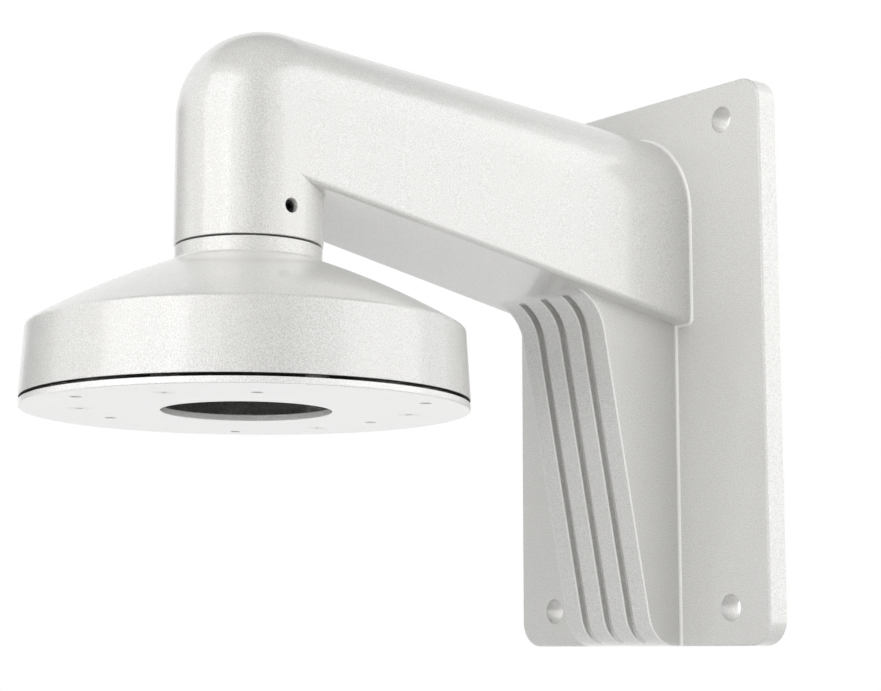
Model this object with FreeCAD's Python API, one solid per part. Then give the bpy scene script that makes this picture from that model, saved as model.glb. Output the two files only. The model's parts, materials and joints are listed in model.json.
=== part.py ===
"""Pendant camera wall bracket: a hollow cast arm on a wall plate, with a threaded cap under its neck.

Millimetres. The origin is the centre of the wall plate's rear face, the wall is the plane y = 0,
the arm reaches out along -Y and +Z is up.
"""
import FreeCAD
import Part

import os
from math import acos, atan2, cos, pi, radians, sin, sqrt, tan

V = FreeCAD.Vector

# Wall plate
plate_width = 139.0
plate_height = 218.4
plate_thickness = 9.2
plate_corner_radius = 10.0
plate_edge_round = 0.9
plate_skin = 5.2            # metal left in front of the rear recess
plate_rim = 4.0             # width of the rim that stands on the wall
plate_rib = 3.0
plate_cross_ribs = 3        # level ribs between the screw rows
wall_hole_diameter = 10.0
wall_hole_inset_x = 19.8    # from the plate's side edges
wall_hole_inset_z = 14.4    # from its upper and lower edges
wall_boss_diameter = 19.0

# Arm
arm_reach = 196.2           # wall to the neck's axis
arm_wall = 3.5
arm_root_width = 65.0
arm_root_top = 94.2
arm_root_rise = 35.5        # height of the arched top at the wall
arm_root_bottom = 14.5
arm_underside_angle = 10.2  # degrees that the underside climbs on its way out
arm_lower_radius = 2.2
arm_inner_radius = 1.0      # least radius of the hollow's lower corners
root_fillet = 1.0

# Elbow and neck
neck_diameter = 52.2
elbow_outer_radius = 32.3
elbow_axis_z = 73.7
neck_end_z = 28.2
thread_diameter = 42.0
thread_depth = 20.0

# Strut below the arm
strut_width = 47.0
strut_foot_depth = 24.2     # from the wall, at the plate's lower edge
strut_lean = 11.38          # degrees from upright
strut_head_fillet = 19.0
strut_foot_round = 13.5
strut_front_wall = 6.0
strut_side_wall = 3.5
strut_end_wall = 4.0
groove_count = 3
groove_pitch = 12.65
groove_width = 3.8
groove_depth = 2.6
groove_head_fillet = 12.0
groove_foot_round = 9.0

# Pendant cap
collar_diameter = 51.5
collar_height = 5.3
dome_height = 23.7
dome_bulge = 1.35           # how far the dome stands proud of a straight cone
crest_diameter = 151.9
crest_round = 2.0
rim_diameter = 155.0
rim_height = 24.6
cap_wall = 3.0
hub_bore_diameter = 34.0
hub_engagement = 18.0
cap_boss_diameter = 9.0

# Camera plate under the cap
camera_plate_diameter = 154.8
camera_plate_thickness = 2.3
camera_plate_gap = 1.1      # shadow gap below the cap's rim
cable_hole_diameter = 59.0
plate_screw_spacing_x = 55.0
plate_screw_spacing_y = 99.4
camera_hole_diameter = 4.0
inner_pattern_diameter = 107.2
outer_pattern_diameter = 132.8
pattern_count = 3
inner_pattern_start = 90    # degrees from +X to the first hole
outer_pattern_start = 30

# Fasteners and seal
plate_screw_diameter = 4.0
plate_screw_length = 10.0
plate_screw_head = 8.0
cross_slot_width = 1.0
cross_slot_length = 4.4
cross_slot_depth = 1.3
set_screw_diameter = 5.0
set_screw_length = 3.0
set_screw_height = 10.7     # above the neck's lower end
set_screw_hex = 2.5
set_screw_hex_depth = 1.6
set_screw_chamfer = 0.25
seal_thickness = 0.6
seal_inset = 0.8
thread_clearance = 0.1
seat_clearance = 0.05
through = 1.0               # how far a cutting tool runs past a face
hair = 1e-4                 # two places closer than this are taken as one

# Places worked out from the sizes
wall_hole_x = plate_width / 2 - wall_hole_inset_x
wall_hole_z = plate_height / 2 - wall_hole_inset_z
neck_radius = neck_diameter / 2
elbow_y = -arm_reach - neck_radius + elbow_outer_radius
collar_top_z = neck_end_z - seal_thickness
collar_foot_z = collar_top_z - collar_height
crest_z = collar_foot_z - dome_height
rim_z = crest_z - rim_height
camera_plate_top_z = rim_z - camera_plate_gap
camera_plate_bottom_z = camera_plate_top_z - camera_plate_thickness
hub_radius = thread_diameter / 2 - thread_clearance
neck_axis = V(0, -arm_reach, 0)


def box(x0, x1, y0, y1, z0, z1):
    return Part.makeBox(x1 - x0, y1 - y0, z1 - z0, V(x0, y0, z0))


def upright_cylinder(radius, z0, z1, centre=V(0, 0, 0)):
    return Part.makeCylinder(radius, z1 - z0, V(centre.x, centre.y, z0))


def arc_wire(points):
    """A closed wire through corner points, each given as (point, corner radius)."""
    edges, last, first = [], None, None
    count = len(points)
    for i, (corner, radius) in enumerate(points):
        if radius:
            before = (points[i - 1][0] - corner).normalize()
            after = (points[(i + 1) % count][0] - corner).normalize()
            half = acos(max(-1.0, min(1.0, before.dot(after)))) / 2
            reach = radius / tan(half)
            start, end = corner + before * reach, corner + after * reach
            middle = (before + after).normalize() * (radius / sin(half) - radius)
            arc = Part.Arc(start, corner + middle, end).toShape()
        else:
            start, end, arc = corner, corner, None
        if last is None:
            first = start
        elif (start - last).Length > hair:
            edges.append(Part.makeLine(last, start))
        if arc:
            edges.append(arc)
        last = end
    if (first - last).Length > hair:
        edges.append(Part.makeLine(last, first))
    return Part.Wire(edges)


def side_prism(points, x0, x1):
    """Extrude a profile drawn in the YZ plane from x0 to x1; points are ((y, z), radius)."""
    wire = arc_wire([(V(x0, y, z), radius) for (y, z), radius in points])
    return Part.Face(wire).extrude(V(x1 - x0, 0, 0))


def crown_tangent_angle():
    """Angle at the elbow's axis where the straight crown line of the arm leaves the bend."""
    run, drop = -elbow_y, arm_root_top - elbow_axis_z
    return atan2(drop, run) + acos(elbow_outer_radius / sqrt(run ** 2 + drop ** 2))


bend_angle = crown_tangent_angle()
bend_out = V(0, cos(bend_angle), sin(bend_angle))
bend_axis = V(0, elbow_y, elbow_axis_z)


def underside_z(y):
    return arm_root_bottom - y * tan(radians(arm_underside_angle))


def underside_reach():
    """Distance from the elbow's axis down the bend's end plane to the underside."""
    slope = tan(radians(arm_underside_angle))
    return (elbow_axis_z - underside_z(elbow_y)) / (bend_out.z + slope * bend_out.y)


def arch(place, half_width, rise, spring):
    """Half ellipse from one side over the crown to the other."""
    poles = [(half_width, 0), (half_width, rise), (0, rise), (-half_width, rise), (-half_width, 0)]
    curve = Part.BSplineCurve()
    curve.buildFromPolesMultsKnots([place(x, spring + h) for x, h in poles], [3, 2, 3], [0, 1, 2],
                                   False, 2, [1, sqrt(0.5), 1, sqrt(0.5), 1])
    return curve.toShape()


def arm_section(place, half_width, crown, rise, bottom, radius):
    """Closed section of the arm: arched top, straight sides, rounded lower corners."""
    turn = radius * (1 - sqrt(0.5))
    corner = bottom + radius
    inner = half_width - radius
    spring = crown - rise
    return Part.Wire([
        arch(place, half_width, rise, spring),
        Part.makeLine(place(-half_width, spring), place(-half_width, corner)),
        Part.Arc(place(-half_width, corner), place(-half_width + turn, bottom + turn),
                 place(-inner, bottom)).toShape(),
        Part.makeLine(place(-inner, bottom), place(inner, bottom)),
        Part.Arc(place(inner, bottom), place(half_width - turn, bottom + turn),
                 place(half_width, corner)).toShape(),
        Part.makeLine(place(half_width, corner), place(half_width, spring)),
    ])


def lower_section(place, half_width, top, bottom, radius):
    points = [(place(-half_width, top), 0), (place(-half_width, bottom), radius),
              (place(half_width, bottom), radius), (place(half_width, top), 0)]
    return arc_wire(points)


def wall_section(inset):
    """The arm's section in the wall's plane, moved in by inset."""
    rise = inset / cos(radians(arm_underside_angle))
    return arm_section(lambda x, h: V(x, 0, h), arm_root_width / 2 - inset, arm_root_top - inset,
                       arm_root_rise - inset, arm_root_bottom + rise, lower_radius(inset))


def lower_radius(inset):
    return max(arm_lower_radius - inset, arm_inner_radius)


def arm_solids(inset):
    """Arm, elbow and their bridge to the neck, with each surface moved in by inset."""
    half = neck_radius - inset
    radius = lower_radius(inset)
    rise = inset / cos(radians(arm_underside_angle))
    low = rise - underside_reach()
    bend_crown = elbow_outer_radius - inset
    centre = elbow_outer_radius - neck_radius

    def on_bend(x, h):
        return bend_axis + bend_out * h + V(x, 0, 0)

    def at_neck(x, h):
        return V(x, -arm_reach, h)

    bend = arm_section(on_bend, half, bend_crown, half, low, radius)
    arm = Part.makeLoft([bend, wall_section(inset)], True, True)
    neck_side = lower_section(at_neck, half, elbow_axis_z, underside_z(-arm_reach) + rise, radius)
    bridge = Part.makeLoft([neck_side, lower_section(on_bend, half, 0, low, radius)], True, True)
    dome = Part.Wire([
        Part.Arc(on_bend(half, centre), on_bend(0, bend_crown), on_bend(-half, centre)).toShape(),
        Part.makeLine(on_bend(-half, centre), on_bend(-half, 0)),
        Part.makeLine(on_bend(-half, 0), on_bend(half, 0)),
        Part.makeLine(on_bend(half, 0), on_bend(half, centre)),
    ])
    elbow = Part.Face(dome).revolve(bend_axis, V(1, 0, 0), 180 - bend_angle * 180 / pi)
    return [arm, bridge, elbow]


def front_y(z):
    """The strut's front line at height z."""
    return -strut_foot_depth - (z + plate_height / 2) * tan(radians(strut_lean))


def meet_underside(offset, drop):
    """Where the strut's front line, moved in by offset, meets the arm's underside, moved up by drop."""
    lean, slope = tan(radians(strut_lean)), tan(radians(arm_underside_angle))
    y0 = front_y(0) + offset / cos(radians(strut_lean))
    z = (arm_root_bottom + drop - slope * y0) / (1 - slope * lean)
    return y0 - lean * z, z


def strut_solid():
    foot_z = -plate_height / 2
    head = meet_underside(0, 0)
    inside = arm_wall / 2
    back = -plate_thickness / 2
    far = head[0] - strut_head_fillet
    points = [((-strut_foot_depth, foot_z), strut_foot_round), (head, strut_head_fillet),
              ((far, underside_z(far)), 0), ((far, underside_z(far) + inside), 0),
              ((back, underside_z(back) + inside), 0), ((back, foot_z), 0)]
    return side_prism(points, -strut_width / 2, strut_width / 2)


def strut_cavity():
    foot_z = -plate_height / 2 + strut_end_wall
    half = strut_width / 2 - strut_side_wall
    gap = arm_wall / cos(radians(arm_underside_angle))
    head = meet_underside(strut_front_wall, -gap)
    foot = front_y(foot_z) + strut_front_wall / cos(radians(strut_lean))
    corner = min(strut_foot_round - strut_front_wall, (through - foot) / 2)
    points = [((foot, foot_z), corner), (head, arm_wall),
              ((through, underside_z(through) - gap), 0), ((through, foot_z), 0)]
    return side_prism(points, -half, half)


def groove_cutters():
    """Grooves that run down the strut's face and fade out at both of its ends."""
    foot_z = -plate_height / 2
    head = meet_underside(groove_depth, 0)
    foot = front_y(foot_z) + groove_depth / cos(radians(strut_lean))
    corner_angle = radians(90 + arm_underside_angle + strut_lean)
    start = head[0] - groove_head_fillet / tan(corner_angle / 2) * cos(radians(arm_underside_angle))
    out = start - strut_foot_depth
    end = foot + groove_foot_round / tan(radians(90 + strut_lean) / 2)
    points = [((start, underside_z(start)), 0), (head, groove_head_fillet),
              ((foot, foot_z), groove_foot_round), ((end, foot_z), 0),
              ((end, foot_z - through), 0), ((out, foot_z - through), 0),
              ((out, underside_z(start)), 0)]
    cutters = []
    for i in range(groove_count):
        x = (i - (groove_count - 1) / 2) * groove_pitch
        cutters.append(side_prism(points, x - groove_width / 2, x + groove_width / 2))
    return cutters


def wall_hole_places():
    return [V(sx * wall_hole_x, 0, sz * wall_hole_z) for sx in (-1, 1) for sz in (-1, 1)]


def plate_blank():
    half_x, half_z = plate_width / 2, plate_height / 2
    plate = box(-half_x, half_x, -plate_thickness, 0, -half_z, half_z)
    corners = [e for e in plate.Edges if abs(e.tangentAt(e.FirstParameter).y) > 0.99]
    plate = plate.makeFillet(plate_corner_radius, corners)
    front = [e for e in plate.Edges if e.BoundBox.YMax < -plate_thickness + hair]
    plate = plate.makeFillet(plate_edge_round, front)
    for place in wall_hole_places():
        plate = plate.cut(Part.makeCylinder(wall_hole_diameter / 2, plate_thickness + 2 * through,
                                            place + V(0, through, 0), V(0, -1, 0)))
    return plate


def plate_recess(mouths):
    """Rear recess, with the rim, the ribs, the screw bosses and the walls of both mouths left standing."""
    half_x, half_z = plate_width / 2 - plate_rim, plate_height / 2 - plate_rim
    floor = -plate_thickness + plate_skin
    recess = box(-half_x, half_x, floor, 0, -half_z, half_z)
    corners = [e for e in recess.Edges if abs(e.tangentAt(e.FirstParameter).y) > 0.99]
    recess = recess.makeFillet(plate_corner_radius - plate_rim, corners)
    keep = list(mouths)
    for place in wall_hole_places():
        keep.append(Part.makeCylinder(wall_boss_diameter / 2, plate_thickness, place, V(0, -1, 0)))
    for x in (-wall_hole_x, wall_hole_x):
        keep.append(box(x - plate_rib / 2, x + plate_rib / 2, floor, 0, -half_z, half_z))
    rows = plate_cross_ribs + 2
    for i in range(rows):
        z = wall_hole_z * (2 * i / (rows - 1) - 1)
        keep.append(box(-half_x, half_x, floor, 0, z - plate_rib / 2, z + plate_rib / 2))
    return recess.cut(keep)


def root_strips():
    """Concave rounding between each side of the strut and the plate."""
    strips = []
    foot_z = -plate_height / 2
    for side in (-1, 1):
        x, y = side * strut_width / 2, -plate_thickness
        far_x, near_y = x + side * root_fillet, y - root_fillet
        turn = root_fillet * (1 - sqrt(0.5))
        curve = Part.Arc(V(far_x, y, foot_z), V(x + side * turn, y - turn, foot_z), V(x, near_y, foot_z))
        inner_x, inner_y = x - side * root_fillet, y + root_fillet
        wire = Part.Wire([curve.toShape(), Part.makeLine(V(x, near_y, foot_z), V(inner_x, near_y, foot_z)),
                          Part.makeLine(V(inner_x, near_y, foot_z), V(inner_x, inner_y, foot_z)),
                          Part.makeLine(V(inner_x, inner_y, foot_z), V(far_x, inner_y, foot_z)),
                          Part.makeLine(V(far_x, inner_y, foot_z), V(far_x, y, foot_z))])
        height = underside_z(y) - foot_z + arm_wall / 2
        strips.append(Part.Face(wire).extrude(V(0, 0, height)))
    return strips


def is_root_edge(edge):
    """True for the line where the arm leaves the plate's front face."""
    bounds = edge.BoundBox
    on_front = max(abs(bounds.YMin + plate_thickness), abs(bounds.YMax + plate_thickness)) < hair
    return on_front and max(abs(bounds.XMin), abs(bounds.XMax)) < arm_root_width / 2 + root_fillet


def bracket_body():
    arm, bridge, elbow = arm_solids(0)
    neck = upright_cylinder(neck_radius, neck_end_z, elbow_axis_z, neck_axis)
    body = plate_blank().fuse(arm)
    body = body.makeFillet(root_fillet, [e for e in body.Edges if is_root_edge(e)])
    body = body.fuse([bridge, elbow, neck]).fuse([strut_solid()] + root_strips())
    body = body.cut(groove_cutters())

    arm_inside, bridge_inside, elbow_inside = arm_solids(arm_wall)
    thread_top = neck_end_z + thread_depth
    neck_inside = upright_cylinder(neck_radius - arm_wall, thread_top, elbow_axis_z, neck_axis)
    thread = upright_cylinder(thread_diameter / 2, neck_end_z - through, thread_top + through, neck_axis)
    for hollow in (arm_inside, bridge_inside, elbow_inside, neck_inside, thread, strut_cavity()):
        body = body.cut(hollow)

    arm_mouth = Part.Face(wall_section(0)).extrude(V(0, -plate_thickness, 0))
    strut_mouth = box(-strut_width / 2, strut_width / 2, -plate_thickness, 0,
                      -plate_height / 2, arm_root_bottom + arm_wall)
    body = body.cut(plate_recess([arm_mouth, strut_mouth]))
    return body.cut(set_screw_hole())


def set_screw_hole():
    """Tapped hole through the neck's wall, with a small chamfer at its mouth."""
    z = neck_end_z + set_screw_height
    radius = set_screw_diameter / 2
    axis = V(1, 0, 0)
    hole = Part.makeCylinder(radius, neck_radius + through, V(0, -arm_reach, z), axis)
    mouth = Part.makeCone(radius, radius + 2 * set_screw_chamfer, 2 * set_screw_chamfer,
                          V(neck_radius - set_screw_chamfer, -arm_reach, z), axis)
    bore = upright_cylinder(thread_diameter / 2 - through, z - 2 * radius, z + 2 * radius, neck_axis)
    return hole.fuse(mouth).cut(bore)


def set_screw():
    """Headless hex socket screw that bears on the cap's hub."""
    z = neck_end_z + set_screw_height
    axis = V(1, 0, 0)
    start = V(hub_radius + seat_clearance, -arm_reach, z)
    screw = Part.makeCylinder(set_screw_diameter / 2 - seat_clearance, set_screw_length, start, axis)
    mouth_x = start.x + set_screw_length
    corner = set_screw_hex / sqrt(3)
    points = [V(mouth_x + through, -arm_reach + corner * cos(pi / 3 * i), z + corner * sin(pi / 3 * i))
              for i in range(6)]
    socket = Part.Face(Part.makePolygon(points + points[:1]))
    return screw.cut(socket.extrude(V(-set_screw_hex_depth - through, 0, 0)))


def dome_arc(inset):
    """Slightly bulging line of the dome from the collar's foot to the crest, moved in by inset."""
    run, drop = (crest_diameter - collar_diameter) / 2, dome_height
    length = sqrt(run ** 2 + drop ** 2)
    out_r, out_z = drop / length, run / length
    start = V(collar_diameter / 2 - out_r * inset, -arm_reach, collar_foot_z - out_z * inset)
    crest_drop = inset * (out_z - (1 - out_r) * drop / run)
    end = V(crest_diameter / 2 - inset, -arm_reach, crest_z - crest_drop)
    middle = (start + end) / 2 + V(out_r, 0, out_z) * dome_bulge
    return start, middle, end


def cap_shell(inset, low_z):
    """Solid under the dome and inside the rim, each surface moved in by inset, down to low_z."""
    start, middle, end = dome_arc(inset)
    draft = (rim_diameter - crest_diameter) / 2 / rim_height
    foot = V(rim_diameter / 2 - inset + draft * (rim_z - low_z), -arm_reach, low_z)
    top, bottom = V(0, -arm_reach, start.z), V(0, -arm_reach, low_z)
    edges = [Part.makeLine(top, start), Part.Arc(start, middle, end).toShape(),
             Part.makeLine(end, foot), Part.makeLine(foot, bottom), Part.makeLine(bottom, top)]
    return Part.Face(Part.Wire(edges)).revolve(neck_axis, V(0, 0, 1), 360)


def plate_screw_places():
    return [V(sx * plate_screw_spacing_x / 2, -arm_reach + sy * plate_screw_spacing_y / 2, 0)
            for sx in (-1, 1) for sy in (-1, 1)]


def pendant_cap():
    outside = cap_shell(0, rim_z)
    crest = [e for e in outside.Edges
             if max(abs(e.BoundBox.ZMax - crest_z), abs(e.BoundBox.ZMin - crest_z)) < hair]
    outside = outside.makeFillet(crest_round, crest)
    outside = outside.fuse(upright_cylinder(collar_diameter / 2, collar_foot_z - cap_wall,
                                            collar_top_z, neck_axis))
    hub = upright_cylinder(hub_radius, collar_foot_z, neck_end_z + hub_engagement, neck_axis)
    cap = outside.fuse(hub).cut(cap_shell(cap_wall, rim_z - through))
    bosses = [upright_cylinder(cap_boss_diameter / 2, camera_plate_top_z, collar_foot_z, place)
              for place in plate_screw_places()]
    inside = cap_shell(cap_wall / 2, camera_plate_top_z)
    for boss in bosses:
        cap = cap.fuse(boss.common(inside))
    cap = cap.cut(upright_cylinder(hub_bore_diameter / 2, rim_z, neck_end_z + hub_engagement + through,
                                   neck_axis))
    for place in plate_screw_places():
        cap = cap.cut(upright_cylinder(plate_screw_diameter / 2, camera_plate_top_z - through,
                                       camera_plate_bottom_z + plate_screw_length + through, place))
    return cap


def neck_seal():
    ring = upright_cylinder(collar_diameter / 2 - seal_inset, collar_top_z, neck_end_z, neck_axis)
    return ring.cut(upright_cylinder(hub_radius + thread_clearance, collar_top_z, neck_end_z, neck_axis))


def camera_plate():
    plate = upright_cylinder(camera_plate_diameter / 2, camera_plate_bottom_z, camera_plate_top_z, neck_axis)
    plate = plate.cut(upright_cylinder(cable_hole_diameter / 2, camera_plate_bottom_z,
                                       camera_plate_top_z, neck_axis))
    for diameter, first in ((inner_pattern_diameter, inner_pattern_start),
                            (outer_pattern_diameter, outer_pattern_start)):
        for i in range(pattern_count):
            angle = radians(first + 360 / pattern_count * i)
            place = neck_axis + V(cos(angle), sin(angle), 0) * (diameter / 2)
            plate = plate.cut(upright_cylinder(camera_hole_diameter / 2, camera_plate_bottom_z,
                                               camera_plate_top_z, place))
    for place in plate_screw_places():
        plate = plate.cut(countersunk_screw(place, seat_clearance, 0))
    return plate


def countersunk_screw(place, clearance, slot):
    """Countersunk screw pointing up, grown by clearance; slot is the depth of its cross recess."""
    low = camera_plate_bottom_z
    radius = plate_screw_diameter / 2
    head_radius = plate_screw_head / 2
    cone_height = head_radius - radius
    head = Part.makeCone(head_radius + clearance, radius + clearance, cone_height, V(place.x, place.y, low))
    shank = upright_cylinder(radius - seat_clearance + 2 * clearance, low, low + plate_screw_length, place)
    screw = head.fuse(shank)
    if slot:
        half_long, half_wide = cross_slot_length / 2, cross_slot_width / 2
        for long, wide in ((half_long, half_wide), (half_wide, half_long)):
            screw = screw.cut(box(place.x - long, place.x + long, place.y - wide, place.y + wide,
                                  low - through, low + slot))
    return screw


def plate_screws():
    return Part.makeCompound([countersunk_screw(place, 0, cross_slot_depth).Solids[0]
                              for place in plate_screw_places()])


def export(name, shape):
    shape.exportStep(os.path.join("parts", name + ".step"))
    print(name, "solids", len(shape.Solids), "valid", shape.isValid(), "volume", round(shape.Volume))


os.makedirs("parts", exist_ok=True)
export("bracket_body", bracket_body())
export("pendant_cap", pendant_cap())
export("neck_seal", neck_seal())
export("set_screw", set_screw())
export("camera_plate", camera_plate())
export("plate_screws", plate_screws())
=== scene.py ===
"""Looks of a pendant camera wall bracket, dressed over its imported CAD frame.

The frame is the CAD's: the origin is the centre of the wall plate's rear face, the wall is y = 0,
the arm reaches out along -Y and +Z is up. Blender works in metres. Sizes and places on the bracket
are written in millimetres here, and MM turns them into metres.
"""

import json
from math import cos, pi, radians, sin

import bmesh
import bpy
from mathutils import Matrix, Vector


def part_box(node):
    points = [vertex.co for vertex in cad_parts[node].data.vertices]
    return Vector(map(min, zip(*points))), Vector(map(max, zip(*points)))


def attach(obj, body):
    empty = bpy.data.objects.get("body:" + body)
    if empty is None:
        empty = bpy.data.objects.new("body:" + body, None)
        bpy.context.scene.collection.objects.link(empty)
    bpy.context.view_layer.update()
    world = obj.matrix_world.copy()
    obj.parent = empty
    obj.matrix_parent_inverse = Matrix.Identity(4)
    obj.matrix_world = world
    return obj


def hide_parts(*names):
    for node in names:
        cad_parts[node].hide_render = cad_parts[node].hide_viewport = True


MM = 0.001

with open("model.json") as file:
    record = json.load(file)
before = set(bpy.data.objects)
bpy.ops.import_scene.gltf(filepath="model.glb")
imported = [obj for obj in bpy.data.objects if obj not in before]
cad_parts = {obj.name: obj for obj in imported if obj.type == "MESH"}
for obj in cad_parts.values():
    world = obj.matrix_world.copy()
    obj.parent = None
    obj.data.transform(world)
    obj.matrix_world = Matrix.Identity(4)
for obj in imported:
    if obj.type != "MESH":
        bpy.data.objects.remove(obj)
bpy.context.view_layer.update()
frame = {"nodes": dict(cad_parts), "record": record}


# Sizes and places on the bracket, in millimetres: first those that the frame states

def span(node, axis):
    """Where a node begins and ends along X, Y or Z."""
    return [round(corner["XYZ".index(axis)] / MM, 2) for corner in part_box(node)]


CAMERA_HOLES = [mount for mount in frame["record"]["mounts"] if mount["name"].startswith("camera_holes")]
NECK = tuple(round(part / MM, 2) for part in CAMERA_HOLES[0]["pos_m"][:2])  # X and Y of its upright axis
COLLAR_TOP, NECK_END = span("neck_seal", "Z")
PLATE_FOOT, PLATE_TOP = span("camera_plate", "Z")
HUB_TOP = span("pendant_cap", "Z")[1]
SET_SCREW_POINT = span("set_screw", "X")[0]
SET_SCREW_HEIGHT = sum(span("set_screw", "Z")) / 2

NECK_RADIUS = 26.1
COLLAR_RADIUS, COLLAR_FOOT = 25.75, 22.3
RIM_RADIUS, RIM_INSIDE, RIM_FOOT = 77.5, 74.5, -26.0
HUB_RADIUS, HUB_BORE = 20.9, 17.0
SEAL_INSIDE, SEAL_RADIUS = 21.0, 24.95
PLATE_RADIUS, CABLE_HOLE = 77.4, 29.5
GROOVE_WIDTH = 3.8
GROOVE_LINES = (-12.65, 0, 12.65)
SCREW_HEAD, SCREW_SHANK = 4.0, 2.0
SCREW_OFF_X, SCREW_OFF_Y = 27.5, 49.7  # from the neck's axis to each plate screw
SCREW_PLACES = [(x, NECK[1] + y) for y in (SCREW_OFF_Y, -SCREW_OFF_Y) for x in (SCREW_OFF_X, -SCREW_OFF_X)]

# Boxes round parts of the casting, each as its low and its high corner

STRUT = (-23.6, -75, -109.3), (23.6, -9.6, 30)
GROOVES = (-16, -75, -109.3), (16, -9.6, 26)
ROOT_CORNERS = (-40, -10.3, -110), (40, -9.15, 110)
REAR_FACE = (-70, -0.05, -110), (70, 0.05, 110)
WALL_HOLE_LIPS = (-60, -9.25, -105), (60, -9.15, 105)

# How much of a direction is in the normal of a face that is turned to it: loosely, squarely or flat on

FACING, SQUARELY, FLAT = 0.3, 0.9, 0.995

# Degrees between two faces: where a corner begins, where smooth shading ends, and where both are one plane

CORNER_ANGLE, SMOOTH_ANGLE, PLANE_ANGLE = 25, 32, 0.3

# How near two points count as one, and how near a ring a point counts as on it

SAME_POINT, SAME_RING = 0.002, 0.02


# Shader maths

class Signal:
    """One shader socket. Sums, products, powers and abs() of it add Math nodes."""

    def __init__(self, finish, socket):
        self.finish, self.socket = finish, socket

    def maths(self, operation, first, second):
        """What a Math node makes of two signals or numbers."""
        return self.finish.node("ShaderNodeMath", {"operation": operation}, {0: first, 1: second})

    def __add__(self, other):
        return self.maths("ADD", self, other)

    def __sub__(self, other):
        return self.maths("SUBTRACT", self, other)

    def __rsub__(self, other):
        return self.maths("SUBTRACT", other, self)

    def __mul__(self, other):
        return self.maths("MULTIPLY", self, other)

    def __pow__(self, other):
        return self.maths("POWER", self, other)

    def __abs__(self):
        return self.maths("ABSOLUTE", self, 0)

    __radd__ = __add__
    __rmul__ = __mul__


def brightest(first, second):
    """The greater of two signals."""
    return first.maths("MAXIMUM", first, second)


class Finish:
    """The node tree of a material, or of the world."""

    def __init__(self, owner):
        owner.use_nodes = True
        self.owner, self.tree = owner, owner.node_tree
        self.tree.nodes.clear()

    def node(self, kind, settings=None, sockets=None, output=0):
        """Add a node: its settings first, then its sockets' values or links; returns one output."""
        added = self.tree.nodes.new(kind)
        for name, value in (settings or {}).items():
            setattr(added, name, value)
        for name, value in (sockets or {}).items():
            if isinstance(value, Signal):
                self.tree.links.new(value.socket, added.inputs[name])
            else:
                added.inputs[name].default_value = value
        return Signal(self, added.outputs[output]) if added.outputs else None

    def place(self):
        """Object coordinates, in metres."""
        return self.node("ShaderNodeTexCoord", output="Object")

    def along(self, axis, way=None):
        """The X, Y or Z of a direction, or of the surface's own place where none is given."""
        return self.node("ShaderNodeSeparateXYZ", None, {"Vector": way or self.place()}, output=axis)

    def grain(self, size, detail=2.0, roughness=0.5):
        """Noise whose grains are about that size, in metres."""
        return self.node("ShaderNodeTexNoise", None, {"Vector": self.place(), "Scale": 1 / size,
                                                      "Detail": detail, "Roughness": roughness})

    def patches(self, size, detail=2.0, roughness=0.5, low=0.3, high=0.7):
        """Grain whose middle values, from low to high, are spread over 0 to 1."""
        return self.stretch(self.grain(size, detail, roughness), low, high)

    def stretch(self, signal, low, high):
        """Spread the part of a signal between low and high over 0 to 1."""
        return self.node("ShaderNodeMapRange", None, {"Value": signal, "From Min": low, "From Max": high})

    def between(self, share, low, high):
        """Number that goes from low to high as share goes from 0 to 1."""
        return self.node("ShaderNodeMapRange", None, {"Value": share, "To Min": low, "To Max": high})

    def blend(self, share, first, second):
        """Colour that goes from the first to the second as share goes from 0 to 1."""
        return self.node("ShaderNodeMix", {"data_type": "RGBA"},
                         {0: share, 6: first, 7: second}, output=2)

    def bump(self, height, distance, strength=1.0, under=None):
        """Normal of a relief, whose height of 1 stands for a distance in metres, over another if given."""
        sockets = {"Height": height, "Distance": distance, "Strength": strength}
        if under:
            sockets["Normal"] = under
        return self.node("ShaderNodeBump", None, sockets)

    def ray(self, kind):
        """1 for the rays of one kind, such as Camera or Glossy."""
        return self.node("ShaderNodeLightPath", output=f"Is {kind} Ray")

    def mix(self, share, first, second):
        """A shader between two others."""
        return self.node("ShaderNodeMixShader", None, {0: share, 1: first, 2: second})

    def surface(self, **sockets):
        """The principled shader, wired to the material's output."""
        named = {name.replace("_", " "): value for name, value in sockets.items()}
        shader = self.node("ShaderNodeBsdfPrincipled", None, named)
        self.node("ShaderNodeOutputMaterial", None, {"Surface": shader})
        return self.owner


def shade(share, *colour):
    """A colour made lighter or darker by a share, and never past white."""
    return tuple(min(share * part, 1) for part in colour) + (1,)


# Finishes

def powder_coat(name, share=1.0):
    """Warm white textured powder coat: fine speckle, orange peel and a satin sheen.

    A share over 1 makes a paler copy, used as painted highlight on lips, in corners and on the plate,
    and one under 1 a darker copy, used as painted shade in the grooves.
    """
    finish = Finish(bpy.data.materials.new(name))
    hollow = shade(share, 0.57, 0.565, 0.543)
    crown = shade(share, 0.86, 0.857, 0.842)
    haze = shade(share, 0.73, 0.72, 0.69)
    speck = finish.patches(0.42 * MM, detail=1.0, roughness=0.6)
    cloud = finish.patches(35 * MM)
    colour = finish.blend(cloud * 0.3, finish.blend(speck, hollow, crown), haze)
    peel = finish.bump(finish.grain(1.6 * MM), 0.06 * MM)
    pimples = finish.bump(finish.grain(0.55 * MM, roughness=0.6), 0.04 * MM, strength=0.9, under=peel)
    return finish.surface(Base_Color=colour, Roughness=finish.between(speck, 0.3, 0.4), Normal=pimples,
                          IOR=1.6, Coat_Weight=0.8, Coat_Roughness=0.15, Coat_IOR=1.6)


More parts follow.
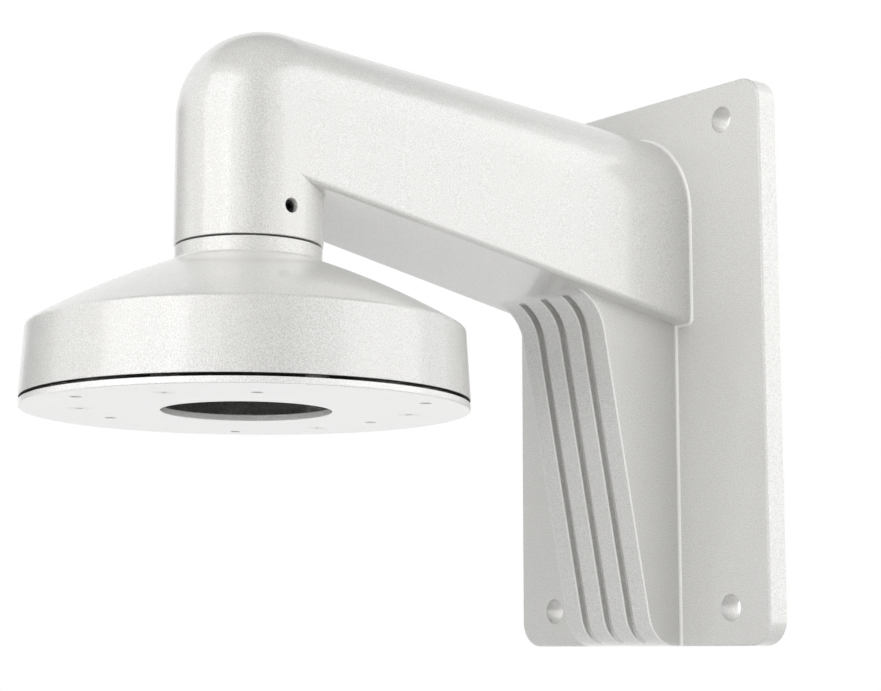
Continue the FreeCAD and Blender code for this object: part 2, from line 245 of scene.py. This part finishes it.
def shaded_casting(name, overspray):
    """Cast metal left near black, with a dull grit: painted shade, as in the cap's narrow gap.

    With overspray, pale powder covers it, all but the corner under the cap's crest,
    which stays near black as painted shade.
    """
    finish = Finish(bpy.data.materials.new(name))
    grit = finish.patches(1.1 * MM, detail=4.0, roughness=0.65)
    # Near-black colours: painted shade, as in the cap's narrow gap
    colour = finish.blend(grit, (0.03, 0.03, 0.029, 1), (0.11, 0.109, 0.105, 1))
    if overspray:
        x, y, z = (finish.along(axis) for axis in "XYZ")
        out = (x * x + (y - NECK[1] * MM) ** 2) ** 0.5
        # Painted shade: high on the wall and far out, under the crest, the near-black colour stays
        corner = finish.stretch(z, -13 * MM, -9 * MM) * finish.stretch(out, 62 * MM, 70 * MM)
        powder = finish.blend(grit, (0.6, 0.594, 0.57, 1), (0.95, 0.945, 0.925, 1))
        colour = finish.blend(corner, powder, colour)
    return finish.surface(Base_Color=colour, Roughness=finish.between(grit, 0.5, 0.75),
                          Normal=finish.bump(grit, 0.12 * MM))


def seal_rubber():
    """Matt black rubber, with a faint bloom."""
    finish = Finish(bpy.data.materials.new("seal_rubber"))
    bloom = finish.patches(2.5 * MM, detail=3.0, low=0.35)
    colour = finish.blend(bloom, (0.022, 0.022, 0.022, 1), (0.045, 0.044, 0.042, 1))
    return finish.surface(Base_Color=colour, Roughness=finish.between(bloom, 0.6, 0.8),
                          Normal=finish.bump(finish.grain(0.4 * MM), 0.02 * MM))


def black_steel():
    """Steel under black oxide."""
    finish = Finish(bpy.data.materials.new("black_steel"))
    bloom = finish.patches(1.2 * MM, detail=3.0, low=0.35)
    colour = finish.blend(bloom, (0.004, 0.004, 0.004, 1), (0.014, 0.014, 0.015, 1))
    return finish.surface(Base_Color=colour, Roughness=finish.between(bloom, 0.4, 0.6),
                          Specular_IOR_Level=0.2, Normal=finish.bump(finish.grain(0.3 * MM), 0.01 * MM))


coat = powder_coat("powder_coat")
# Paler copy of the coat: painted highlight on the strut's lips and in the root fillet
thick_coat = powder_coat("thick_coat", 1.6)
# Darker copy of the coat: painted shade in the strut's grooves
thin_coat = powder_coat("thin_coat", 0.84)
# Paler copy of the coat: painted light on the camera plate, as if brightly lit from below
plate_coat = powder_coat("plate_coat", 1.3)
# Near-black casting: painted shade on the rim's foot, the plate's top, the inner lips and inside the cap
dark_shade = shaded_casting("masked_foot", overspray=False)
# The cap's inside: pale powder, with painted shade in the corner under the crest
inside = shaded_casting("bare_inside", overspray=True)
rubber = seal_rubber()
steel = black_steel()


# Handling: pieces, selections and cuts

def put_down():
    """Leave edit mode with nothing selected."""
    if bpy.context.mode != "OBJECT":
        bpy.ops.object.mode_set(mode="OBJECT")
    bpy.ops.object.select_all(action="DESELECT")


def take_up(piece):
    """Select one piece and nothing else."""
    put_down()
    bpy.context.view_layer.objects.active = piece
    piece.select_set(True)


def edit(piece):
    """Take up a piece in edit mode."""
    take_up(piece)
    bpy.ops.object.mode_set(mode="EDIT")


def settle():
    """Move the places, turns and scales of the selected pieces into their meshes."""
    bpy.ops.object.transform_apply(location=True, rotation=True, scale=True)


def pick(piece, kind, wanted):
    """In edit mode, select the parts, of kind EDGE or FACE, that wanted() is true for."""
    bpy.ops.mesh.select_mode(type=kind)
    bpy.ops.mesh.select_all(action="DESELECT")
    mesh = bmesh.from_edit_mesh(piece.data)
    for part in (mesh.edges if kind == "EDGE" else mesh.faces):
        if wanted(part):
            part.select_set(True)
    bmesh.update_edit_mesh(piece.data)


def soften(piece, wanted, size, segments=3, finish=None, clamp=True):
    """In edit mode, round the edges that wanted() is true for, in the finish given or in their own."""
    pick(piece, "EDGE", wanted)
    number = piece.data.materials.find(finish.name) if finish else -1
    bpy.ops.mesh.bevel(offset=size * MM, segments=segments, affect="EDGES", clamp_overlap=clamp,
                       material=number)


def wear(piece, *finishes):
    """Give a piece its finishes, the first of them all over."""
    piece.data.materials.clear()
    for finish in finishes:
        piece.data.materials.append(finish)


def repaint(piece, wanted, finish):
    """In edit mode, put one of the piece's finishes on the faces that wanted() is true for."""
    pick(piece, "FACE", wanted)
    piece.active_material_index = piece.data.materials.find(finish.name)
    bpy.ops.object.material_slot_assign()


def twin(piece, name):
    """A copy with a mesh of its own."""
    copy = bpy.data.objects.new(name, piece.data.copy())
    bpy.context.scene.collection.objects.link(copy)
    return copy


def apply_modifier(piece, kind, **settings):
    """Finish a piece with a modifier, worked into its mesh."""
    take_up(piece)
    modifier = piece.modifiers.new(kind.lower(), kind)
    for name, value in settings.items():
        setattr(modifier, name, value)
    bpy.ops.object.modifier_apply(modifier=modifier.name)


def cut_away(piece, cutter):
    """Take the cutter's shape out of the piece, and drop the cutter."""
    apply_modifier(piece, "BOOLEAN", operation="DIFFERENCE", solver="EXACT", object=cutter)
    bpy.data.objects.remove(cutter)


def turn(name, centre, rings, steps=128, closed=False):
    """A round piece about an upright axis: a circle extruded ring by ring, as (radius, height).

    A closed piece's last ring is its first one again, as on a washer. Any other has two flat ends.
    """
    put_down()
    radius, height = rings[0]
    x, y = centre[0] * MM, centre[1] * MM
    bpy.ops.mesh.primitive_circle_add(vertices=steps, radius=radius * MM, location=(x, y, height * MM))
    piece = bpy.context.object
    piece.name = name
    settle()
    bpy.ops.object.mode_set(mode="EDIT")
    bpy.ops.mesh.select_mode(type="EDGE")
    bpy.ops.mesh.select_all(action="SELECT")
    if not closed:
        bpy.ops.mesh.edge_face_add()
        pick(piece, "EDGE", lambda edge: True)
    for next_radius, next_height in rings[1:]:
        bpy.ops.mesh.extrude_edges_move(
            TRANSFORM_OT_translate={"value": (0, 0, (next_height - height) * MM)})
        grow = next_radius / radius
        bpy.ops.transform.resize(value=(grow, grow, 1), center_override=(x, y, next_height * MM))
        radius, height = next_radius, next_height
    if not closed:
        bpy.ops.mesh.edge_face_add()
    bpy.ops.mesh.select_all(action="SELECT")
    bpy.ops.mesh.remove_doubles(threshold=SAME_POINT * MM)
    bpy.ops.mesh.normals_make_consistent(inside=False)
    return piece


def thread(root, crest, pitch, start, end):
    """Rings of a thread's ridges, from one height towards another."""
    rings, height = [], start
    while height < end:
        rings += [(root, height), (crest, height + pitch / 2)]
        height += pitch
    return rings


def merged_copy(node, name, *finishes):
    """An editable copy of a CAD node: one skin, its flat faces whole again."""
    piece = twin(frame["nodes"][node], name)
    wear(piece, *finishes)
    edit(piece)
    bpy.ops.mesh.select_all(action="SELECT")
    bpy.ops.mesh.remove_doubles(threshold=SAME_POINT * MM)
    bpy.ops.mesh.customdata_custom_splitnormals_clear()
    bpy.ops.mesh.dissolve_limited(angle_limit=radians(PLANE_ANGLE), use_dissolve_boundaries=False)
    return piece


def finish_piece(piece, node):
    """Smooth shading with weighted normals, then the node that the piece stands for hidden, and the piece
    put on its body.
    """
    take_up(piece)
    bpy.ops.object.shade_smooth_by_angle(angle=radians(SMOOTH_ANGLE))
    apply_modifier(piece, "WEIGHTED_NORMAL", keep_sharp=True, weight=100)
    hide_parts(node)
    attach(piece, "root")


# Tests that tell the faces and edges of the bracket apart

def within(part, box):
    """True for an edge or a face that lies inside a box."""
    low, high = box
    return all(low[i] * MM <= vertex.co[i] <= high[i] * MM for vertex in part.verts for i in range(3))


def corner_in(box):
    """Test for the edges inside a box that stand out as corners."""
    def wanted(edge):
        stands_out = len(edge.link_faces) == 2 and edge.calc_face_angle_signed(0) > radians(CORNER_ANGLE)
        return stands_out and within(edge, box)
    return wanted


def on_ring(radius, height):
    """Test for the edges of the ring about the neck's axis at that radius and height."""
    def wanted(edge):
        for vertex in edge.verts:
            across = Vector((vertex.co.x - NECK[0] * MM, vertex.co.y - NECK[1] * MM)).length
            if max(abs(across - radius * MM), abs(vertex.co.z - height * MM)) > SAME_RING * MM:
                return False
        return True
    return wanted


def in_groove(face):
    """True for a wall or the floor of the three grooves down the strut."""
    middle = face.calc_center_median().x / MM
    off_line = min(abs(middle - line) for line in GROOVE_LINES)
    is_wall, is_floor = abs(face.normal.x) > SQUARELY, min(face.normal.y, face.normal.z) < -FACING
    return within(face, GROOVES) and off_line < GROOVE_WIDTH / 2 + 0.05 and (is_wall or is_floor)


def in_root_corner(face):
    """True for the small fillet where the arm and the strut grow out of the wall plate."""
    return within(face, ROOT_CORNERS) and face.normal.y > -FLAT


def inside_cap(face):
    """True for a face of the cap that looks down or in at its axis."""
    middle = face.calc_center_median()
    outward = Vector((middle.x - NECK[0] * MM, middle.y - NECK[1] * MM, 0)).normalized()
    return face.normal.z < -FACING or face.normal.dot(outward) < -FACING


def under_rim(face):
    """True for the rim's foot and the ends of the screw bosses, which stand a little lower."""
    return all(corner.co.z < (RIM_FOOT + 0.1) * MM for corner in face.verts)


def looks_up(face):
    """True for a face that looks straight up."""
    return face.normal.z > SQUARELY


# Pieces

def bracket_casting():
    """Wall plate, arm, elbow, neck and strut: one casting, with the lips that its mould leaves."""
    piece = merged_copy("bracket_body", "bracket_casting", coat, thick_coat, thin_coat)
    # Painted shade: the grooves' walls and floors take the darker copy of the coat
    repaint(piece, in_groove, thin_coat)
    # Painted highlight: the root fillet takes the paler copy of the coat
    repaint(piece, in_root_corner, thick_coat)
    # Painted highlight on the strut's rounded lips, in the paler copy of the coat
    soften(piece, corner_in(STRUT), 0.45, finish=thick_coat, clamp=False)
    soften(piece, corner_in(REAR_FACE), 0.3, segments=2)
    soften(piece, corner_in(WALL_HOLE_LIPS), 0.4)
    soften(piece, on_ring(NECK_RADIUS, NECK_END), 0.3)
    finish_piece(piece, "bracket_body")


def dome_cap():
    """Collar, dome and rim, with the threaded hub that holds the cap, and its inside, painted dark as
    shade.
    """
    piece = merged_copy("pendant_cap", "dome_cap", coat, inside, dark_shade)
    # The cap's inside faces take that casting: pale, with painted shade in the corner under the crest
    repaint(piece, inside_cap, inside)
    # Painted shade: the rim's foot and the bosses' ends are near black, so the gap below the rim is dark
    repaint(piece, under_rim, dark_shade)
    coated_lips = ((COLLAR_RADIUS, COLLAR_TOP, 0.4), (COLLAR_RADIUS, COLLAR_FOOT, 0.8),
                   (RIM_RADIUS, RIM_FOOT, 0.25), (HUB_RADIUS, HUB_TOP, 0.8))
    for radius, height, size in coated_lips:
        soften(piece, on_ring(radius, height), size, finish=coat)
    # Lips inside the rim and round the hub's bore in the near-black casting, as painted shade
    shade_lips = ((RIM_INSIDE, RIM_FOOT, 0.4), (HUB_BORE, HUB_TOP, 0.5))
    for radius, height, size in shade_lips:
        soften(piece, on_ring(radius, height), size, finish=dark_shade)
    finish_piece(piece, "pendant_cap")


def neck_gasket():
    """Flat rubber ring, squeezed a little round at its outer edge."""
    low, high = COLLAR_TOP, NECK_END
    rings = [(SEAL_INSIDE, low), (SEAL_RADIUS - 0.25, low), (SEAL_RADIUS - 0.07, low + 0.12),
             (SEAL_RADIUS, (low + high) / 2), (SEAL_RADIUS - 0.07, high - 0.12),
             (SEAL_RADIUS - 0.25, high), (SEAL_INSIDE, high), (SEAL_INSIDE, low)]
    ring = turn("neck_gasket", NECK, rings, closed=True)
    wear(ring, rubber)
    finish_piece(ring, "neck_seal")


def drill_circle(plate, sizes, first_angle):
    """Camera holes on one circle of the record's sizes, each flared a little at both ends."""
    flare, past = 0.3, 0.1
    circle, hole = sizes["pcd_mm"] / 2, sizes["hole_r_mm"]
    rings = [(hole + flare, PLATE_FOOT - past), (hole, PLATE_FOOT + flare - past),
             (hole, PLATE_TOP - flare + past), (hole + flare, PLATE_TOP + past)]
    for i in range(sizes["count"]):
        angle = radians(first_angle + 360 / sizes["count"] * i)
        place = (NECK[0] + circle * cos(angle), NECK[1] + circle * sin(angle))
        cut_away(plate, turn("drill", place, rings, steps=24))


def countersink(plate):
    """Right-angled seats for the plate's screws, with a small gap round them."""
    gap, past = 0.05, 0.1
    head, shank = SCREW_HEAD + gap, SCREW_SHANK + gap
    rings = [(head + past, PLATE_FOOT - past), (shank, PLATE_FOOT + head - shank),
             (shank, PLATE_TOP + past)]
    for place in SCREW_PLACES:
        cut_away(plate, turn("countersink", place, rings, steps=32))


def drilled_plate():
    """Camera plate: a disc with its cable hole, two circles of camera holes and four countersinks."""
    rings = [(CABLE_HOLE, PLATE_FOOT), (PLATE_RADIUS, PLATE_FOOT), (PLATE_RADIUS, PLATE_TOP),
             (CABLE_HOLE, PLATE_TOP), (CABLE_HOLE, PLATE_FOOT)]
    plate = turn("drilled_plate", NECK, rings, steps=160, closed=True)
    # The plate wears the paler copy of the coat as painted light, and the near-black casting on its top
    wear(plate, plate_coat, dark_shade)
    # Painted shade: the plate's top face, which looks into the gap, in the near-black casting
    repaint(plate, looks_up, dark_shade)
    lips = ((PLATE_RADIUS, PLATE_TOP, 0.25), (PLATE_RADIUS, PLATE_FOOT, 0.45),
            (CABLE_HOLE, PLATE_TOP, 0.3), (CABLE_HOLE, PLATE_FOOT, 0.3))
    for radius, height, size in lips:
        soften(plate, on_ring(radius, height), size, finish=plate_coat)
    put_down()
    for mount, first_angle in zip(CAMERA_HOLES, (90, 30)):
        drill_circle(plate, mount["dims"], first_angle)
    countersink(plate)
    finish_piece(plate, "camera_plate")


def cross_wing(turned):
    """Cutter of one of the two slots of a cross recess, which narrows into the head."""
    half_length, half_width, depth, narrowing = 2.2, 0.45, 1.4, 0.55
    bpy.ops.mesh.primitive_cube_add(size=2 * MM, location=(0, 0, PLATE_FOOT * MM))
    wing = bpy.context.object
    wing.scale = (half_length, half_width, depth)
    wing.rotation_euler = (0, 0, radians(turned))
    settle()
    edit(wing)
    pick(wing, "FACE", looks_up)
    bpy.ops.transform.resize(value=(narrowing, narrowing, 1), center_override=(0, 0, PLATE_FOOT * MM))
    put_down()
    return wing


def countersunk_screws():
    """Four cross-head screws, flush with the plate, each turned to its own stop."""
    root, crest, tip, length, stops = 1.65, 1.95, 1.3, 10, (12, 51, 78, 33)
    rings = [(SCREW_HEAD - 0.15, PLATE_FOOT), (SCREW_HEAD, PLATE_FOOT + 0.15),
             (SCREW_SHANK, PLATE_FOOT + 2.1)]
    rings += thread(root, crest, pitch=0.7, start=PLATE_FOOT + 2.3, end=PLATE_FOOT + 9.3)
    rings += [(root, PLATE_FOOT + length - 0.3), (tip, PLATE_FOOT + length)]
    first = turn("countersunk_screws", (0, 0), rings, steps=32)
    put_down()
    for turned in (0, 90):
        cut_away(first, cross_wing(turned))
    screws = [first] + [twin(first, "screw") for _ in SCREW_PLACES[1:]]
    for screw, (x, y), stop in zip(screws, SCREW_PLACES, stops):
        screw.location, screw.rotation_euler = (x * MM, y * MM, 0), (0, 0, radians(stop))
    put_down()
    for screw in screws:
        screw.select_set(True)
    bpy.context.view_layer.objects.active = first
    bpy.ops.object.join()
    settle()
    wear(first, coat)
    finish_piece(first, "plate_screws")


def hex_set_screw():
    """Headless screw with a hexagon socket, run in from the neck's right side."""
    root, crest, length, socket_floor, socket_corner = 2.1, 2.42, 3.0, 1.4, 1.44
    rings = [(1.4, 0), (2.0, 0.4)]
    rings += thread(root, crest, pitch=0.6, start=0.5, end=2.5)
    rings += [(root, length - 0.15), (1.9, length)]
    screw = turn("hex_set_screw", (0, 0), rings, steps=32)
    put_down()
    socket = [(socket_corner, socket_floor), (socket_corner, length + 0.2)]
    cut_away(screw, turn("hex_key", (0, 0), socket, steps=6))
    screw.location = (SET_SCREW_POINT * MM, NECK[1] * MM, SET_SCREW_HEIGHT * MM)
    screw.rotation_euler = (0, radians(90), 0)
    take_up(screw)
    settle()
    wear(screw, steel)
    finish_piece(screw, "set_screw")


bracket_casting()
dome_cap()
neck_gasket()
drilled_plate()
countersunk_screws()
hex_set_screw()
put_down()


# Studio, in metres: bearings are in degrees about Z, from +X towards +Y

ARM = Vector((0, -0.1, 0))
FLOOR_HEIGHT, FLOOR_RADIUS = -0.35, 3.0
STRIP_BEARING, REAR_BEARING = -20, 195
SOFTBOX_RISE, SOFTBOX_DISTANCE, SOFTBOX_HEIGHT = 15, 1.1, 1.6


def heading(bearing, rise=0):
    """The direction of a bearing, at a rise above the level."""
    return Vector((cos(radians(rise)) * cos(radians(bearing)), cos(radians(rise)) * sin(radians(bearing)),
                   sin(radians(rise))))


def softbox(name, bearing, width, brightness):
    """Soft box on its stand at a bearing, aimed at the arm."""
    data = bpy.data.lights.new(name, "AREA")
    data.shape, data.size, data.size_y = "RECTANGLE", width, SOFTBOX_HEIGHT
    data.energy = brightness * pi * width * SOFTBOX_HEIGHT
    light = bpy.data.objects.new(name, data)
    bpy.context.scene.collection.objects.link(light)
    light.location = ARM + heading(bearing, SOFTBOX_RISE) * SOFTBOX_DISTANCE
    light.rotation_euler = (ARM - light.location).to_track_quat("-Z", "Y").to_euler()
    light.visible_camera = False


def studio_world():
    """White behind the object, soft light on it, and dark places of the room in its gloss."""
    world = bpy.data.worlds.new("studio")
    bpy.context.scene.world = world
    finish = Finish(world)
    ray_way = finish.node("ShaderNodeTexCoord", output="Generated")

    def towards(bearing):
        """How far a ray points towards a bearing: 1 straight at it, 0 across it."""
        return finish.node("ShaderNodeVectorMath", {"operation": "DOT_PRODUCT"},
                           {0: ray_way, 1: heading(bearing)}, output="Value")

    # Each dark place fades in between two values of a ray's direction, up to its own darkness
    rise = finish.along("Z", ray_way)
    ceiling = finish.stretch(rise, 0.72, 0.82) * 0.85
    off_strip = finish.stretch(abs(towards(STRIP_BEARING + 90)), 0.12, 0.3)
    strip = (1 - off_strip) * finish.stretch(towards(STRIP_BEARING), -0.1, 0.2)
    wall = finish.stretch(rise, -0.04, 0.04) - finish.stretch(rise, 0.25, 0.5)
    rear = finish.stretch(towards(REAR_BEARING), 0.9, 0.98) * wall * 0.9
    dark = brightest(ceiling, brightest(strip, rear))
    seen = brightest(finish.ray("Camera"), finish.ray("Transmission"))
    white = brightest(seen, finish.ray("Glossy") * (1 - dark))
    strength = finish.between(white, 0.3, 1.0) * (1 - finish.ray("Glossy") * dark * 0.85)
    sky = finish.node("ShaderNodeBackground", None, {"Color": (1, 1, 1, 1), "Strength": strength})
    finish.node("ShaderNodeOutputWorld", None, {"Surface": sky})


def white_paper():
    """Paper that takes the shadow, and is bright in the object's gloss.

    From underneath it is clear, so the object can be seen from below.
    """
    grey, glare, whitened = 0.66, 1.15, 0.6
    finish = Finish(bpy.data.materials.new("floor_white"))
    paper = finish.node("ShaderNodeBsdfDiffuse", None, {"Color": (grey, grey, grey, 1)})
    white = finish.node("ShaderNodeEmission", None, {"Color": (1, 1, 1, 1), "Strength": 1.0})
    bright = finish.node("ShaderNodeEmission", None, {"Color": (1, 1, 1, 1), "Strength": glare})
    clear = finish.node("ShaderNodeBsdfTransparent")
    shown = finish.mix(finish.ray("Camera") * whitened, paper, white)
    seen = finish.mix(brightest(finish.ray("Glossy"), finish.ray("Transmission")), shown, bright)
    from_below = finish.node("ShaderNodeNewGeometry", output="Backfacing")
    surface = finish.mix(from_below * finish.ray("Camera"), seen, clear)
    finish.node("ShaderNodeOutputMaterial", None, {"Surface": surface})
    return finish.owner


def studio_floor():
    """A round sheet of white paper under the object."""
    put_down()
    bpy.ops.mesh.primitive_circle_add(vertices=96, radius=FLOOR_RADIUS, fill_type="NGON",
                                      location=(ARM.x, ARM.y, FLOOR_HEIGHT))
    floor = bpy.context.object
    floor.name = "studio_floor"
    settle()
    wear(floor, white_paper())


def studio_camera():
    """Stands where the photograph was taken from: to the right of the arm, a little below it."""
    looks_up_by, turned = 8.45, 51.055
    data = bpy.data.cameras.new("camera")
    data.sensor_width, data.lens = 36.0, 84.19
    camera = bpy.data.objects.new("camera", data)
    bpy.context.scene.collection.objects.link(camera)
    camera.location = (0.59141, -0.58809, -0.11127)
    camera.rotation_euler = (radians(90 + looks_up_by), 0, radians(turned))
    bpy.context.scene.camera = camera


studio_camera()
studio_world()
studio_floor()
softbox("right_softbox", bearing=35, width=1.0, brightness=1.42)
softbox("right_wing", bearing=10, width=1.0, brightness=0.38)
softbox("right_rear_wing", bearing=65, width=1.0, brightness=0.25)
softbox("left_softbox", bearing=-85, width=0.8, brightness=1.85)
softbox("left_wing", bearing=-62, width=0.5, brightness=0.86)
softbox("left_rear_wing", bearing=-115, width=0.8, brightness=0.12)

bpy.context.scene.view_settings.view_transform = "Standard"
